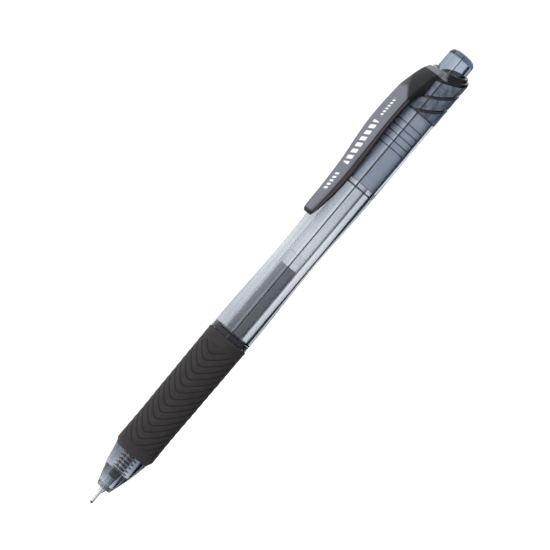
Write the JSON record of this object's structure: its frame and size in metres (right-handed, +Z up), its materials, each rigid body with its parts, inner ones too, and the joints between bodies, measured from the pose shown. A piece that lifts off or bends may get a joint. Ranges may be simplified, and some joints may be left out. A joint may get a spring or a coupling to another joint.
{
  "type": "retractable gel pen",
  "caption": "Slim click pen with a clear smoky barrel, black rubber grip, needle point, springy pocket clip and push button.",
  "frame": {"origin": "middle of the underside of the pen's box: the pen lies on its side on the grip's rear bead and one edge of the clip, and z = 0 is the table", "axes": "+X along the pen, towards the writing point, with the push button at -X; +Z up from the table; the clip is on the -Y side, a little below level"},
  "size_m": [0.145, 0.0146, 0.0113],
  "materials": {
    "barrel_clear": "polished clear smoky plastic",
    "nose_clear": "polished clear smoky plastic",
    "housing_dark": "dark smoky polished plastic",
    "button_clear": "polished clear blue-grey plastic",
    "clip_plastic": "dark grey gloss",
    "ring_black": "black gloss",
    "grip_rubber": "matt, moulded wave texture",
    "needle_steel": "drawn stainless steel",
    "spring_steel": "bright spring wire",
    "ball_carbide": "ground tungsten carbide, ink-wetted",
    "adapter_plastic": "dark satin",
    "tube_plastic": "translucent polypropylene",
    "ink_black": "wet black gel",
    "follower_grease": "clear grease",
    "plug_white": "white satin",
    "cam_plastic": "grey acetal"
  },
  "bodies": {
    "rear_body": {"barrel": "barrel_clear", "upper_sleeve": "barrel_clear", "top_housing": "housing_dark", "clip_collar": "clip_plastic"},
    "button": {"push_button": "button_clear", "thrust_cam": "cam_plastic"},
    "refill": {"tip_ball": "ball_carbide", "ball_spring": "spring_steel", "needle_pipe": "needle_steel", "tip_holder": "needle_steel", "refill_adapter": "adapter_plastic", "ink_tube": "tube_plastic", "gel_ink": "ink_black", "ink_follower": "follower_grease", "tail_plug": "plug_white"},
    "rotor": {"rotor_cam": "cam_plastic"},
    "clip": {"clip_arm": "clip_plastic"},
    "spring": {"return_spring": "spring_steel"},
    "front_section": {"front_barrel": "nose_clear", "grip_sleeve": "grip_rubber", "joint_ring": "ring_black"}
  },
  "joints": [
    {"name": "button_slide", "type": "slide", "parent": "rear_body", "child": "button", "axis": [-1, 0, 0], "range_m": [-0.001, 0.0055]},
    {"name": "refill_slide", "type": "slide", "parent": "rear_body", "child": "refill", "axis": [-1, 0, 0], "range_m": [-0.001, 0.0055], "deforming": ["return_spring"]},
    {"name": "rotor_turn", "type": "hinge", "parent": "refill", "child": "rotor", "pos_m": [-0.03719, 0.00163, 0.00567], "axis": [-1, 0, 0], "range_deg": [-8.2, 45.01]},
    {"name": "clip_flex", "type": "hinge", "parent": "rear_body", "child": "clip", "pos_m": [-0.05569, -0.00519, 0.00332], "axis": [0, 0.3257, -0.9455], "range_deg": [0, 4], "stiffness_Nm_per_rad": 1},
    {"name": "front_travel", "type": "slide", "parent": "rear_body", "child": "spring", "axis": [1, 0, 0], "range_m": [0, 0.0048]},
    {"name": "front_unscrew", "type": "hinge", "parent": "spring", "child": "front_section", "pos_m": [0.06766, 0.00163, 0.00567], "axis": [1, 0, 0], "range_deg": [0, 1081]}
  ],
  "couplings": [
    {"joint": "refill_slide", "follows": "button_slide", "ratio": 1},
    {"joint": "rotor_turn", "follows": "button_slide", "rad_per_m": 142.8},
    {"joint": "front_unscrew", "follows": "front_travel", "rad_per_m": 3927}
  ]
}
